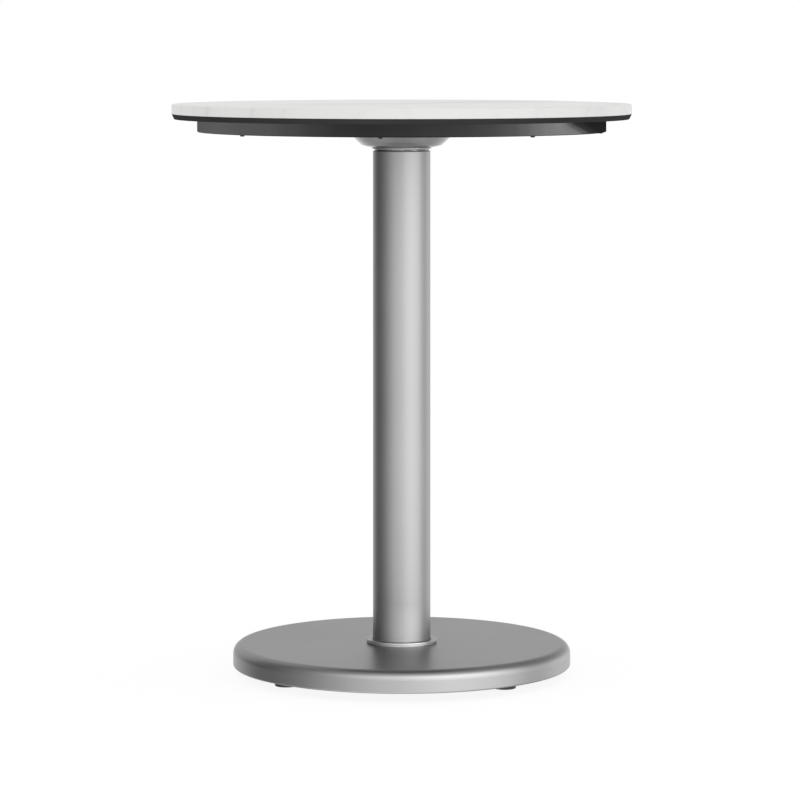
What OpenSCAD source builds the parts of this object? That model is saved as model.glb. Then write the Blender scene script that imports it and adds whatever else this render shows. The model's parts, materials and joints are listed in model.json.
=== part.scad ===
// Round pedestal bistro table: stone slab on a chamfered backer board, black
// stiffening hoop, cast spider hub, steel column on a tie rod, and a ballasted
// disc base that stands on four swivel levelling feet.
// Origin: on the floor, at the column axis. +Z up, -Y is the front.

/* [Table top] */
// Diameter of the stone slab
top_d = 609.6; // [560:0.1:700]
// Thickness of the stone slab
slab_t = 12.7; // [10:0.1:20]
// Thickness of the backer board under the slab
backer_t = 7; // [5:0.5:12]
// How far the backer's lower edge runs in under the slab
backer_chamfer = 3; // [1:0.5:5]
// Height of the finished top surface above the floor
table_h = 748; // [720:0.5:780]

/* [Stiffening hoop] */
// Outside diameter of the hoop under the top
hoop_d = 542; // [460:1:548]
// Radial width of the hoop's rectangular tube
hoop_w = 15; // [12:0.5:25]
// Height of the hoop's rectangular tube
hoop_h = 17; // [14:0.5:25]
// Wall of the hoop's tube
hoop_wall = 1.5; // [1:0.1:2.5]
// Number of screws through the hoop
hoop_screws = 8; // [4:1:12]
// How far the hoop's screws are turned against the base, in degrees
hoop_turn = -2.4; // [-22:0.1:22]

/* [Spider hub] */
// Height of the hub, from the column's end to the backer board
hub_h = 42.3; // [38:0.1:60]
// Radius of the hub's bell where it meets the arms
bell_r = 82; // [70:1:100]
// Distance from the axis to the tip centre of an arm
arm_reach = 190; // [150:1:225]
// Width of an arm at its tip
arm_w = 24; // [20:1:34]
// Thickness of an arm
arm_t = 6; // [5:0.5:10]
// Distance from the axis to the inner screw of an arm
arm_hole_in = 138; // [120:1:145]

/* [Column] */
// Outside diameter of the column tube
column_d = 76.2; // [60:0.1:90]
// Wall of the column tube
column_wall = 2; // [1.5:0.1:4]
// Diameter of the tie rod inside the column
rod_d = 12; // [10:1:14]

/* [Base] */
// Diameter of the base disc
base_d = 446.6; // [430:0.1:560]
// Thickness of the base disc
base_t = 29; // [28:0.5:36]
// Radius of the base's rounded upper edge
base_edge_r = 13; // [8:0.5:14]
// Radius where the wall turns in under the base
base_hem_r = 2.4; // [2:0.1:3]
// Thickness of the base cover's sheet
cover_t = 1.6; // [1:0.1:1.8]
// Diameter of the trim collar round the foot of the column
collar_d = 93; // [88:0.5:110]
// Height of the trim collar
collar_h = 5.5; // [5:0.5:10]

/* [Levelling feet] */
// Gap between the floor and the underside of the base, feet wound in
floor_gap = 5.5; // [5.5:0.5:10]
// Distance from the axis to each foot
foot_pitch_r = 199; // [190:0.5:199]
// Diameter of a foot's pad
pad_d = 30; // [24:1:30]
// Height of a foot's pad
pad_h = 5; // [4.5:0.5:5.5]
// Diameter of a foot's screw
stud_d = 8; // [6:1:8]

/* [Hidden] */
$fn = 96;
cut = 1;           // how far a cutter runs past the face it opens
thread_gap = 0.05; // radial gap between a screw and its thread

// Colours shared by several nodes
insert_colour = [0.7, 0.58, 0.3];
washer_colour = [0.78, 0.78, 0.8];
nut_colour = [0.75, 0.72, 0.6];
hub_and_cover_colour = [0.60, 0.61, 0.62];

// Heights of the horizontal joints, from the floor up
z_base = floor_gap;
z_deck = z_base + base_t;
z_slab = table_h - slab_t;
z_board = z_slab - backer_t;
z_col = z_board - hub_h;
z_hoop = z_board - hoop_h;
// Insides of the base cover
z_in = z_base + cover_t;
z_lid = z_deck - cover_t;

// Radii
top_r = top_d / 2;
base_r = base_d / 2;
col_r = column_d / 2;
bore_r = col_r - column_wall;
spigot_r = bore_r - 0.1;
hoop_r = hoop_d / 2;
hoop_mid = hoop_r - hoop_w / 2;
rod_r = rod_d / 2;
rod_hole_r = rod_r + 0.5;
stud_r = stud_d / 2;

// Arms and feet lie on the diagonals
diagonals = [45, 135, 225, 315];
hoop_angles = [for (i = [0 : hoop_screws - 1]) i * 360 / hoop_screws + hoop_turn];

// Screws and threaded inserts that hold the top
hoop_screw_r = 2;
hoop_insert_r = 4;
spider_screw_r = 3;
spider_insert_r = 4.6;
insert_h = 10;
slab_pocket_h = 4.5;
spider_washer_t = 1.6;

// Tie rod hardware
nut_af = 19;
nut_h = 10;
lock_h = 2.7;
washer_h = 2.5;
stack_h = washer_h + lock_h + nut_h;
hub_web_t = 9.5; // hub's web, from the column's end to the top washer's seat
z_seat_top = z_col + hub_web_t;
z_seat_bottom = z_base + 19;

// ---- small helpers ----------------------------------------------------

// A disc's half section with a rounded upper and a rounded lower rim
module rim_section(radius, z0, z1, top_edge, bottom_edge) {
    translate([0, z0]) square([radius - bottom_edge, z1 - z0 - top_edge]);
    translate([0, z0 + bottom_edge]) square([radius, z1 - z0 - top_edge - bottom_edge]);
    translate([0, z0 + bottom_edge]) square([radius - top_edge, z1 - z0 - bottom_edge]);
    translate([radius - top_edge, z1 - top_edge]) circle(top_edge);
    translate([radius - bottom_edge, z0 + bottom_edge]) circle(bottom_edge);
}

// A ring between two radii and two heights
module ring(outer_r, inner_r, z0, z1) {
    translate([0, 0, z0]) difference() {
        cylinder(r = outer_r, h = z1 - z0);
        translate([0, 0, -cut]) cylinder(r = inner_r, h = z1 - z0 + 2 * cut);
    }
}

// Upright cylinder that starts at height z
module post(radius, z, height) {
    translate([0, 0, z]) cylinder(r = radius, h = height);
}

// Copies at a radius, one per angle, none of them turned
module polar(radius, angles) {
    for (a = angles) translate([radius * cos(a), radius * sin(a), 0]) children();
}

module at_hoop_screws() {
    polar(hoop_mid, hoop_angles) children();
}

// Two screws on each arm
module at_spider_screws() {
    for (radius = [arm_hole_in, arm_reach]) polar(radius, diagonals) children();
}

// A hexagon prism by its width across flats
module hex(across_flats, height) {
    rotate([0, 0, 30]) cylinder(r = across_flats / sqrt(3), h = height, $fn = 6);
}

// A pan-head screw, head downwards, seat at z = 0, with a cross recess
module pan_screw(shank_r, length, head_r, head_h) {
    rim_h = head_h * 0.55;
    slot_w = head_r * 0.2;
    difference() {
        union() {
            cylinder(r = shank_r, h = length);
            post(head_r, -rim_h, rim_h);
            translate([0, 0, -head_h])
                cylinder(r1 = head_r * 0.72, r2 = head_r, h = head_h - rim_h);
        }
        for (a = [0, 90]) rotate([0, 0, a])
            translate([-head_r / 2, -slot_w / 2, -head_h - cut])
                cube([head_r, slot_w, cut + rim_h]);
    }
}

// ---- table top ----------------------------------------------------------

// Cutters for all the inserts, from height z up
module insert_holes(z, height) {
    at_hoop_screws() post(hoop_insert_r, z, height);
    at_spider_screws() post(spider_insert_r, z, height);
}

module marble_top() {
    color([0.90, 0.90, 0.89]) difference() {
        rotate_extrude()
            rim_section(top_r, z_slab, table_h, top_edge = 1.2, bottom_edge = 0.6);
        insert_holes(z_slab - cut, slab_pocket_h + cut);
    }
}

module backer_board() {
    board_r = top_r - 0.4;
    edge_h = 0.8; // upright edge above the chamfer
    color([0.16, 0.16, 0.17]) difference() {
        rotate_extrude() polygon([[0, z_board], [board_r - backer_chamfer, z_board],
            [board_r, z_slab - edge_h], [board_r, z_slab], [0, z_slab]]);
        insert_holes(z_board - cut, backer_t + 2 * cut);
    }
}

// ---- hoop -------------------------------------------------------------------

module stiffener_ring() {
    color([0.12, 0.12, 0.13]) difference() {
        rotate_extrude() difference() {
            translate([hoop_r - hoop_w, z_hoop]) square([hoop_w, hoop_h]);
            translate([hoop_r - hoop_w + hoop_wall, z_hoop + hoop_wall])
                square([hoop_w - 2 * hoop_wall, hoop_h - 2 * hoop_wall]);
        }
        at_hoop_screws() post(hoop_screw_r + 0.2, z_hoop - cut, hoop_h + 2 * cut);
    }
}

module ring_screws() {
    reach_above_hoop = 9.5;
    color([0.1, 0.1, 0.1]) at_hoop_screws() translate([0, 0, z_hoop])
        pan_screw(hoop_screw_r, hoop_h + reach_above_hoop, head_r = 3.1, head_h = 1.9);
}

module ring_inserts() {
    color(insert_colour) at_hoop_screws()
        ring(hoop_insert_r, hoop_screw_r + thread_gap, z_board, z_board + insert_h);
}

// ---- spider -----------------------------------------------------------------
// The hub's own levels are measured up from the column's end.

boss_drop = 2; // how far the screw bosses stand below the arms
seat_drop = arm_t + boss_drop; // from the board down to the bosses' faces
hub_seat = hub_h - seat_drop;
z_arm_seat = z_board - seat_drop;

// Bell of the hub: a neck bead, a shallow cone, a round turn, then a 45 degree
// cone up to the rim
module bell_section() {
    bead_r = 1.1;
    recess_h = 2.1;
    // end of the round turn, where the 45 degree cone starts
    turn_r = 56.2;
    turn_z = 10.8;
    cone_top_r = bell_r - 6;
    // neck, with a narrow recess above the column's end
    square([col_r - 1.1, 5]);
    translate([0, recess_h]) square([col_r + 0.1, 3]);
    translate([col_r + 0.1, recess_h + bead_r]) circle(bead_r);
    // [radius, height]
    polygon([[0, 3.6], [col_r + 1.5, 3.6], [col_r + 3.9, 4.15], [46.6, 5.35],
        [50.2, 6.6], [53.4, 8.5], [turn_r, turn_z],
        [cone_top_r, turn_z + cone_top_r - turn_r], [bell_r, hub_seat],
        [bell_r, hub_h - 1], [0, hub_h - 1]]);
}

// Hollow of the bell, above the web: [radius, height]
module bowl_section() {
    bowl_r = bell_r - 10;
    polygon([[0, hub_web_t], [41, hub_web_t], [48.5, 12.5], [bell_r - 13.5, hub_h - 10.5],
        [bowl_r, hub_h - 7], [bowl_r, hub_h + cut], [0, hub_h + cut]]);
}

// One arm along +X, with its upper face at z = 0
module spider_arm() {
    root_x = bell_r - 5;
    root_half_w = 19;
    rib_t = 7;
    rib_end = arm_reach - 22;
    // arm, wider at the bell, round at the tip
    mirror([0, 0, 1]) linear_extrude(arm_t) union() {
        polygon([[root_x, -root_half_w], [arm_reach, -arm_w / 2],
            [arm_reach, arm_w / 2], [root_x, root_half_w]]);
        translate([arm_reach, 0]) circle(arm_w / 2);
    }
    // rib under the arm
    rotate([90, 0, 0]) translate([0, 0, -rib_t / 2]) linear_extrude(rib_t)
        polygon([[60, 1 - arm_t], [60, 18.5 - hub_h], [66, 19.5 - hub_h],
            [rib_end, -arm_t - 1.5], [rib_end, 1 - arm_t]]);
}

module mounting_spider() {
    spigot_h = 12.5;
    spigot_wall = 5;
    hole_past = 10; // screw holes run this far past both faces of an arm
    pocket_h = 20;
    color(hub_and_cover_colour) translate([0, 0, z_col]) difference() {
        union() {
            rotate_extrude() bell_section();
            // spigot that centres the column
            post(spigot_r, -spigot_h, spigot_h + 0.5);
            // arms, measured down from the board they are screwed to
            translate([0, 0, hub_h]) for (a = diagonals) rotate([0, 0, a]) spider_arm();
            // flat boss round each screw
            at_spider_screws() post(11, hub_seat, 4);
        }
        rotate_extrude() bowl_section();
        // hollow inside the spigot, up to the web
        post(spigot_r - spigot_wall, -spigot_h - cut, spigot_h + cut);
        // tie rod hole
        post(rod_hole_r, -20, 60);
        at_spider_screws()
            post(spider_screw_r + 0.4, hub_h - arm_t - hole_past, arm_t + 2 * hole_past);
        // seat pockets so that the ribs clear the screw heads
        at_spider_screws() post(8.2, hub_seat - pocket_h, pocket_h);
    }
}

module spider_screws() {
    color([0.75, 0.75, 0.77]) at_spider_screws()
        translate([0, 0, z_arm_seat - spider_washer_t])
            pan_screw(spider_screw_r, length = 18, head_r = 5.9, head_h = 3.6);
}

module spider_washers() {
    color(washer_colour) at_spider_screws()
        ring(6.3, spider_screw_r + 0.2, z_arm_seat - spider_washer_t, z_arm_seat);
}

module spider_inserts() {
    color(insert_colour) at_spider_screws()
        ring(spider_insert_r, spider_screw_r + thread_gap, z_board, z_board + insert_h);
}

// ---- column and tie rod -----------------------------------------------------

module column_tube() {
    color([0.62, 0.63, 0.64]) ring(col_r, bore_r, z_deck, z_col);
}

// The rod stands out a little past both nuts
module tie_rod() {
    z_rod_bottom = z_seat_bottom - stack_h - 1.6;
    z_rod_top = z_seat_top + stack_h + 4;
    color([0.7, 0.7, 0.72]) post(rod_r, z_rod_bottom, z_rod_top - z_rod_bottom);
}

// Hexagon nut with chamfered corners, top and bottom
module nut() {
    flat_r = nut_af / 2;
    corner_r = flat_r + 1.6;
    chamfer_h = 1.1;
    difference() {
        intersection() {
            hex(nut_af, nut_h);
            rotate_extrude() polygon([[0, 0], [flat_r, 0], [corner_r, chamfer_h],
                [corner_r, nut_h - chamfer_h], [flat_r, nut_h], [0, nut_h]]);
        }
        post(rod_r + thread_gap, -cut, nut_h + 2 * cut);
    }
}

module rod_washer(z) {
    ring(15, rod_hole_r, z, z + washer_h);
}

// Split spring washer
module lock_washer() {
    split_w = 1.2;
    difference() {
        ring(10.4, rod_r + 0.3, 0, lock_h);
        rotate([0, 0, 20]) translate([5, -split_w / 2, -cut])
            cube([8, split_w, lock_h + 2 * cut]);
    }
}

module rod_top_nut() {
    color(nut_colour) translate([0, 0, z_seat_top + washer_h + lock_h]) nut();
}

module rod_top_washer() {
    color(washer_colour) rod_washer(z_seat_top);
}

module rod_lock_washers() {
    color([0.3, 0.3, 0.32])
        for (z = [z_seat_top + washer_h, z_seat_bottom - washer_h - lock_h])
            translate([0, 0, z]) lock_washer();
}

module rod_bottom_nut() {
    color(nut_colour) translate([0, 0, z_seat_bottom - stack_h]) nut();
}

module rod_bottom_washer() {
    color(washer_colour) rod_washer(z_seat_bottom - washer_h);
}

// ---- base ---------------------------------------------------------------------

locator_r = 29.9;
locator_seat_h = 2; // how deep the locator sits in the ballast
bush_r = 7;
bush_bottom = 6.4;  // ends of the bushes, above the cover's inner floor
bush_top = 22;

// Collar with a groove round it, a rounded upper edge and a bevelled mouth
module base_collar() {
    collar_r = collar_d / 2;
    edge_r = 0.9;
    groove_depth = 0.6;
    groove_bottom = 2.7;
    groove_top = 3;
    bevel_z = collar_h - 1.3;
    color([0.66, 0.67, 0.68]) translate([0, 0, z_deck]) rotate_extrude() difference() {
        union() {
            square([collar_r - edge_r, collar_h]);
            square([collar_r - groove_depth, collar_h - edge_r]);
            square([collar_r - 0.25, groove_bottom]);
            translate([0, groove_top]) square([collar_r, collar_h - groove_top - edge_r]);
            translate([collar_r - edge_r, collar_h - edge_r]) circle(edge_r);
        }
        translate([-cut, -cut]) square([col_r + 0.3 + cut, collar_h + 2 * cut]);
        polygon([[col_r, collar_h + 0.1], [col_r + 1.4, collar_h + 0.1],
            [col_r + 0.2, bevel_z], [col_r, bevel_z]]);
    }
}

// Stepped disc that centres cover, ballast and column on each other
module column_locator() {
    plug_h = 9;
    taper = 2; // height and radial run-in of the plug's tapered end
    color([0.55, 0.55, 0.56]) difference() {
        union() {
            post(locator_r, z_lid - locator_seat_h, z_deck - z_lid + locator_seat_h + 1);
            post(spigot_r, z_deck, plug_h);
            translate([0, 0, z_deck + plug_h])
                cylinder(r1 = spigot_r, r2 = spigot_r - taper, h = taper);
        }
        post(rod_hole_r, z_deck - 10, 40);
        // hollow, open upwards
        post(24, z_deck + 3, 20);
    }
}

// Pressed sheet shell with its lower edge turned in under the ballast
module base_cover() {
    hem_reach = 9.3;
    color(hub_and_cover_colour) rotate_extrude() difference() {
        rim_section(base_r, z_base, z_deck, base_edge_r, base_hem_r);
        rim_section(base_r - cover_t, z_in, z_lid, base_edge_r - cover_t,
            base_hem_r - cover_t);
        // opening inside the hem
        translate([-cut, z_base - cut])
            square([base_r - hem_reach + cut, cover_t + 2 * cut]);
        // hole for the locator
        translate([-cut, z_lid - cut])
            square([locator_r + 0.3 + cut, cover_t + 2 * cut]);
    }
}

// Cutter for the relief under the ballast, leaving a hub, a rim and eight ribs
module ballast_relief() {
    relief_h = base_t - 15;
    hub_r = 46;
    ribs = 8;
    rib_w = 8;
    difference() {
        ring(foot_pitch_r - 28, hub_r, z_in - cut, z_in + relief_h);
        for (i = [0 : ribs - 1]) rotate([0, 0, (i + 0.5) * 360 / ribs])
            translate([30, -rib_w / 2, z_in - 2 * cut])
                cube([160, rib_w, relief_h + 4 * cut]);
    }
}

module base_ballast() {
    ballast_r = base_r - cover_t - 0.4;
    color([0.2, 0.2, 0.21]) difference() {
        rotate_extrude()
            rim_section(ballast_r, z_in, z_lid, base_edge_r - cover_t, bottom_edge = 1.4);
        ballast_relief();
        // recess for the tie rod's nut, and the rod's hole
        post(22, z_in - cut, z_seat_bottom - z_in + cut);
        post(rod_r + 0.6, z_in, 40);
        // seat for the locator
        post(locator_r + 0.1, z_lid - locator_seat_h, 5);
        // feet: pocket, bush seat and blind end
        polar(foot_pitch_r, diagonals) {
            post(11.5, z_in - cut, bush_bottom + cut);
            post(bush_r, z_in, bush_top);
            post(5, z_in, z_lid - z_in - 0.8);
        }
    }
}

// Steel bushes the feet screw into
module foot_bushes() {
    color([0.72, 0.72, 0.74]) polar(foot_pitch_r, diagonals)
        ring(bush_r, stud_r + thread_gap, z_in + bush_bottom, z_in + bush_top);
}

// ---- levelling feet -----------------------------------------------------------

ball_r = 4;
ball_z = 5.3;

// Round glide with a ball socket in a raised boss
module foot_pad(k) {
    color([0.06, 0.06, 0.06]) polar(foot_pitch_r, [diagonals[k]])
        difference() {
            rotate_extrude() union() {
                rim_section(pad_d / 2, 0, pad_h, top_edge = 1.2, bottom_edge = 1.6);
                translate([0, pad_h - 1]) square([8.2, 3.2]);
            }
            translate([0, 0, ball_z]) sphere(r = ball_r + 0.05);
        }
}

// Ball-ended screw with a spanner hexagon
module foot_screw(k) {
    neck_r = 2.3;
    hex_z = 9;
    stud_z = 12;
    color([0.74, 0.74, 0.76]) polar(foot_pitch_r, [diagonals[k]]) {
        translate([0, 0, ball_z]) sphere(r = ball_r);
        post(neck_r, ball_z, 4.5);
        translate([0, 0, hex_z]) hex(across_flats = 13, height = 4);
        post(stud_r, stud_z, z_in + 23.5 - stud_z);
    }
}

module foot_pad_1() { foot_pad(0); }
module foot_pad_2() { foot_pad(1); }
module foot_pad_3() { foot_pad(2); }
module foot_pad_4() { foot_pad(3); }
module foot_screw_1() { foot_screw(0); }
module foot_screw_2() { foot_screw(1); }
module foot_screw_3() { foot_screw(2); }
module foot_screw_4() { foot_screw(3); }

marble_top();
backer_board();
stiffener_ring();
ring_screws();
ring_inserts();
mounting_spider();
spider_screws();
spider_washers();
spider_inserts();
column_tube();
tie_rod();
rod_top_nut();
rod_top_washer();
rod_lock_washers();
base_collar();
column_locator();
base_cover();
base_ballast();
rod_bottom_nut();
rod_bottom_washer();
foot_bushes();
foot_pad_1();
foot_pad_2();
foot_pad_3();
foot_pad_4();
foot_screw_1();
foot_screw_2();
foot_screw_3();
foot_screw_4();
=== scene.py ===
import json
import math

import bmesh
import bpy
from mathutils import Matrix, Vector


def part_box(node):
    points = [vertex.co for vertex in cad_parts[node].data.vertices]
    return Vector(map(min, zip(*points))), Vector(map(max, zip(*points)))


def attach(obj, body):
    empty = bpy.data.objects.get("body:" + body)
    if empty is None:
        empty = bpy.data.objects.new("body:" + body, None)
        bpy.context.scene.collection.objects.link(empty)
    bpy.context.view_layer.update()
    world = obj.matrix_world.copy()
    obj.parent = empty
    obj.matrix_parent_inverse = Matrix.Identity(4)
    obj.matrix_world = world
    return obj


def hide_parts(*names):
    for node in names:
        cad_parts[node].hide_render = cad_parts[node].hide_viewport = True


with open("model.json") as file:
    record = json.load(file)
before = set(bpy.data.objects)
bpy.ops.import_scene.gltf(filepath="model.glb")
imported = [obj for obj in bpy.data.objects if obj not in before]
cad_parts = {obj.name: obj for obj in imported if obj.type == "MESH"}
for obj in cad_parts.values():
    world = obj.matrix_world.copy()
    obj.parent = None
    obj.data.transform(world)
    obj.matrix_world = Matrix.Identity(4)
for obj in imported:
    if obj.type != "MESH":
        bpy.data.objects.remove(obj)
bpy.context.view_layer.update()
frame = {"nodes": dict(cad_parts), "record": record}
MM = 0.001

# ------------------------------------------------------------------ places
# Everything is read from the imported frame, in metres.


def zs(node):
    lo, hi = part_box(node)
    return lo.z, hi.z


Z_SLAB, Z_TOP = zs("marble_top")
Z_BOARD = zs("backer_board")[0]
TOP_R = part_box("marble_top")[1].x
Z_HOOP = zs("stiffener_ring")[0]
HOOP_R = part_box("stiffener_ring")[1].x
Z_DECK, Z_COL = zs("column_tube")
COL_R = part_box("column_tube")[1].x
Z_BASE = zs("base_cover")[0]
BASE_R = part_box("base_cover")[1].x
COLLAR_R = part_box("base_collar")[1].x
Z_COLLAR = zs("base_collar")[1]
PAD_LO, PAD_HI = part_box("foot_pad_1")
SCREW_LO, SCREW_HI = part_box("foot_screw_1")
FOOT_R = ((PAD_LO.x + PAD_HI.x) / 2) * math.sqrt(2)
FOOT_ANGLES = [45, 135, 225, 315]
HOOP_MID = HOOP_R - 7.5 * MM
# The camera's side of the table, and its distance and height
CAM_AZ = 3.4
CAM_D = 4.8811
CAM_H = 0.8475
TO_CAM = Vector((math.sin(math.radians(CAM_AZ)), -math.cos(math.radians(CAM_AZ)), 0.0))
RIGHT = Vector((math.cos(math.radians(CAM_AZ)), math.sin(math.radians(CAM_AZ)), 0.0))


# ------------------------------------------------------------------ mesh help
def new_object(name, bm, smooth_deg=32.0):
    bmesh.ops.recalc_face_normals(bm, faces=bm.faces)
    limit = math.radians(smooth_deg)
    for f in bm.faces:
        f.smooth = True
    for e in bm.edges:
        if len(e.link_faces) == 2:
            e.smooth = e.calc_face_angle(0.0) < limit
    mesh = bpy.data.meshes.new(name)
    bm.to_mesh(mesh)
    bm.free()
    obj = bpy.data.objects.new(name, mesh)
    bpy.context.scene.collection.objects.link(obj)
    return obj


def corner(p0, p1, p2, r, n):
    """Points of an arc of radius r that rounds the corner p1 between p0 and p2."""
    a = Vector(p0) - Vector(p1)
    b = Vector(p2) - Vector(p1)
    la, lb = a.length, b.length
    a.normalize()
    b.normalize()
    half = math.acos(max(-1.0, min(1.0, a.dot(b)))) / 2
    if r <= 0 or abs(half - math.pi / 2) < 1e-4:
        return [tuple(p1)]
    t = min(r / math.tan(half), la * 0.499, lb * 0.499)
    r = t * math.tan(half)
    c = Vector(p1) + (a + b).normalized() * (r / math.sin(half))
    s = Vector(p1) + a * t - c
    e = Vector(p1) + b * t - c
    a0 = math.atan2(s.y, s.x)
    da = math.atan2(e.y, e.x) - a0
    while da > math.pi:
        da -= 2 * math.pi
    while da < -math.pi:
        da += 2 * math.pi
    return [
        (c.x + r * math.cos(a0 + da * i / n), c.y + r * math.sin(a0 + da * i / n))
        for i in range(n + 1)
    ]


def rounded(points, closed=True, n=6):
    """points are (radius, height, corner radius) in mm. Gives (radius, height) in metres, corners rounded."""
    out = []
    m = len(points)
    for i, p in enumerate(points):
        if not closed and i in (0, m - 1):
            out.append((p[0], p[1]))
            continue
        q0, q2 = points[(i - 1) % m], points[(i + 1) % m]
        k = p[3] if len(p) > 3 else n
        out += corner(q0[:2], p[:2], q2[:2], p[2], k)
    clean = [out[0]]
    for p in out[1:]:
        if math.dist(p, clean[-1]) > 1e-5:
            clean.append(p)
    if closed and math.dist(clean[0], clean[-1]) < 1e-5:
        clean.pop()
    return [(x * MM, z * MM) for x, z in clean]


def divided(profile, longest, closed=True):
    """Extra points along the long straight runs of a profile."""
    out = []
    m = len(profile)
    for i, p in enumerate(profile):
        out.append(p)
        if i == m - 1 and not closed:
            break
        q = profile[(i + 1) % m]
        d = math.dist(p, q)
        k = int(d / longest)
        for j in range(1, k + 1):
            t = j / (k + 1)
            out.append((p[0] + (q[0] - p[0]) * t, p[1] + (q[1] - p[1]) * t))
    return out


def lathe_into(bm, profile, segs, closed=True, centre=(0.0, 0.0), phase=0.0):
    """A surface of revolution about the vertical line through centre. Points with radius 0 become poles."""
    rings = []
    for r, z in profile:
        if r < 1e-9:
            rings.append([bm.verts.new((centre[0], centre[1], z))])
        else:
            rings.append(
                [
                    bm.verts.new(
                        (
                            centre[0] + r * math.cos(phase + 2 * math.pi * i / segs),
                            centre[1] + r * math.sin(phase + 2 * math.pi * i / segs),
                            z,
                        )
                    )
                    for i in range(segs)
                ]
            )
    pairs = list(zip(rings, rings[1:]))
    if closed:
        pairs.append((rings[-1], rings[0]))
    for a, b in pairs:
        if len(a) == 1 and len(b) == 1:
            continue
        for i in range(segs):
            j = (i + 1) % segs
            if len(a) == 1:
                bm.faces.new((a[0], b[j], b[i]))
            elif len(b) == 1:
                bm.faces.new((a[i], a[j], b[0]))
            else:
                bm.faces.new((a[i], a[j], b[j], b[i]))


def lathe(name, profile, segs, closed=True, centre=(0.0, 0.0), smooth_deg=32.0):
    bm = bmesh.new()
    lathe_into(bm, profile, segs, closed, centre)
    return new_object(name, bm, smooth_deg)


def threaded_profile(z, theta, r, pitch, depth, z0, z1, lead=1.2):
    """Radius of a right-hand thread at height z and angle theta, tapered at both ends."""
    t = (z / pitch - theta / (2 * math.pi)) % 1.0
    tri = abs(2 * t - 1)
    crest = min(1.0, max(0.0, (tri - 0.12) / 0.72))
    radius = r - depth * (1 - crest)
    ease = min(1.0, (z - z0) / (lead * pitch), (z1 - z) / (lead * pitch))
    return min(radius, r - depth + depth * max(0.0, ease))


def thread_rows(z0, z1, pitch, per=9):
    k = max(2, int(math.ceil((z1 - z0) / pitch * per)))
    return [z0 + (z1 - z0) * i / k for i in range(k + 1)]


def rod_into(bm, sections, segs, centre, bottom_cap=True, top_cap=True):
    """A rod along +Z. Sections are ("plain", z0, z1, r) or ("thread", z0, z1, r, pitch, depth), from the bottom up."""
    rows = []
    for s in sections:
        if s[0] == "plain":
            for z in (s[1], s[2]):
                rows.append([(s[3], z)] * segs)
        else:
            _, z0, z1, r, pitch, depth = s
            for z in thread_rows(z0, z1, pitch):
                rows.append(
                    [
                        (
                            threaded_profile(
                                z, 2 * math.pi * i / segs, r, pitch, depth, z0, z1
                            ),
                            z,
                        )
                        for i in range(segs)
                    ]
                )
    made = []
    for row in rows:
        if (
            made
            and abs(made[-1][0][0] - row[0][0]) < 1e-9
            and abs(made[-1][0][1] - row[0][1]) < 1e-9
        ):
            continue
        made.append(row)
    rings = [
        [
            bm.verts.new(
                (
                    centre[0] + r * math.cos(2 * math.pi * i / segs),
                    centre[1] + r * math.sin(2 * math.pi * i / segs),
                    z,
                )
            )
            for i, (r, z) in enumerate(row)
        ]
        for row in made
    ]
    for a, b in zip(rings, rings[1:]):
        for i in range(segs):
            j = (i + 1) % segs
            bm.faces.new((a[i], a[j], b[j], b[i]))
    if bottom_cap:
        c = bm.verts.new((centre[0], centre[1], made[0][0][1]))
        for i in range(segs):
            bm.faces.new((c, rings[0][(i + 1) % segs], rings[0][i]))
    if top_cap:
        c = bm.verts.new((centre[0], centre[1], made[-1][0][1]))
        for i in range(segs):
            bm.faces.new((c, rings[-1][i], rings[-1][(i + 1) % segs]))


def hex_into(bm, af, z0, z1, bore, centre, segs=96, turn=0.0, cham=0.26):
    """A hexagon nut or head with chamfered corners. bore 0 closes it."""
    apothem = af / 2
    r0 = apothem * 0.985

    def rim(i):
        a = 2 * math.pi * i / segs
        k = (a + math.pi / 6) % (math.pi / 3) - math.pi / 6
        return apothem / math.cos(k)

    rows = []
    inner = bore if bore else 0.0
    drop = [max(0.0, (rim(i) - r0)) * math.tan(math.radians(30)) for i in range(segs)]
    lip = 0.35 * MM
    if bore:
        rows.append([(inner, z0 + lip)] * segs)
        rows.append([(inner + lip, z0)] * segs)
    rows.append([(r0 * 0.97, z0)] * segs)
    rows.append([(r0, z0 + cham * 0.1 * MM)] * segs)
    rows.append([(rim(i), z0 + cham * 0.1 * MM + drop[i]) for i in range(segs)])
    rows.append([(rim(i), z1 - cham * 0.1 * MM - drop[i]) for i in range(segs)])
    rows.append([(r0, z1 - cham * 0.1 * MM)] * segs)
    rows.append([(r0 * 0.97, z1)] * segs)
    if bore:
        rows.append([(inner + lip, z1)] * segs)
        rows.append([(inner, z1 - lip)] * segs)
    rings = [
        [
            bm.verts.new(
                (
                    centre[0] + r * math.cos(turn + 2 * math.pi * i / segs),
                    centre[1] + r * math.sin(turn + 2 * math.pi * i / segs),
                    z,
                )
            )
            for i, (r, z) in enumerate(row)
        ]
        for row in rows
    ]
    pairs = list(zip(rings, rings[1:]))
    if bore:
        pairs.append((rings[-1], rings[0]))
    for a, b in pairs:
        for i in range(segs):
            j = (i + 1) % segs
            bm.faces.new((a[i], a[j], b[j], b[i]))
    if not bore:
        lo = bm.verts.new((centre[0], centre[1], z0))
        hi = bm.verts.new((centre[0], centre[1], z1))
        for i in range(segs):
            j = (i + 1) % segs
            bm.faces.new((lo, rings[0][j], rings[0][i]))
            bm.faces.new((hi, rings[-1][i], rings[-1][j]))


def apply_modifiers(obj):
    dg = bpy.context.evaluated_depsgraph_get()
    mesh = bpy.data.meshes.new_from_object(obj.evaluated_get(dg))
    old = obj.data
    obj.modifiers.clear()
    obj.data = mesh
    if old.users == 0:
        bpy.data.meshes.remove(old)


def polar(r, deg):
    a = math.radians(deg)
    return (r * math.cos(a), r * math.sin(a))


def weighted(obj):
    m = obj.modifiers.new("normals", "WEIGHTED_NORMAL")
    m.keep_sharp = True
    m.weight = 60
    return obj


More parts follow.
